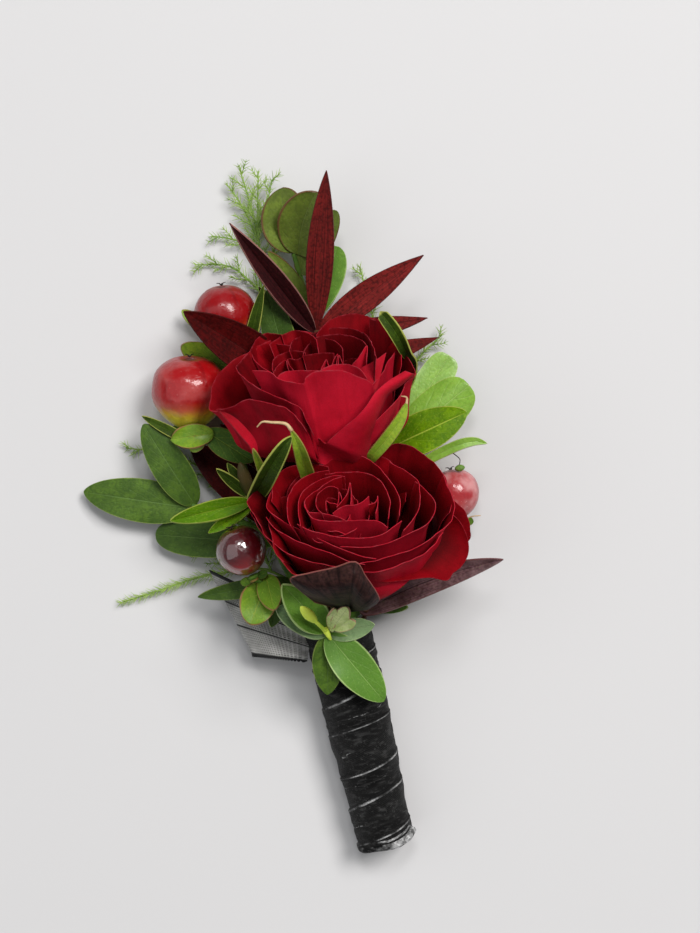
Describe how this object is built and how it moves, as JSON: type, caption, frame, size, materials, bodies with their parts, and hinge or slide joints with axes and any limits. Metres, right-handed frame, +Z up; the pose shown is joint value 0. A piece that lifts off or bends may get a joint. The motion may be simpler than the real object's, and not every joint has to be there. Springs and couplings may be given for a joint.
{
  "type": "boutonniere",
  "caption": "Boutonniere of crimson roses with berries, burgundy and green leaves and fern, bound in black ribbon.",
  "frame": {"origin": "on the table, under the binding where the stems leave the ribbon, on the ribbon's flat underside", "axes": "+Z up from the table the part lies on, +Y from the handle towards the flowers"},
  "size_m": [0.0722, 0.1185, 0.0375],
  "materials": {
    "black_ribbon": "satin",
    "floral_tape": "matt",
    "crimson_petal": "velvety",
    "rose_green": "satin",
    "red_berry": "glossy",
    "dark_berry": "glossy",
    "green_leaf": "satin",
    "pale_leaf": "glossy",
    "burgundy_leaf": "satin",
    "olive_leaf": "satin",
    "fern_needle": "matt"
  },
  "bodies": {
    "root": {"ribbon_wrap": "black_ribbon", "ribbon_loop": "black_ribbon", "floral_tape": "floral_tape", "rose_upper_petals": "crimson_petal", "rose_upper_stem": "rose_green", "rose_lower_petals": "crimson_petal", "rose_lower_stem": "rose_green", "hypericum_left": "green_leaf", "hypericum_front": "green_leaf", "hypericum_right": "pale_leaf", "leucadendron_top": "burgundy_leaf", "leucadendron_front": "burgundy_leaf", "leafy_top": "olive_leaf", "leafy_front": "green_leaf", "fern_top": "fern_needle", "fern_left": "fern_needle", "fern_right": "fern_needle", "berry_upper_left": "red_berry", "berry_left": "red_berry", "berry_low_left": "dark_berry", "berry_right": "red_berry"}
  },
  "joints": []
}
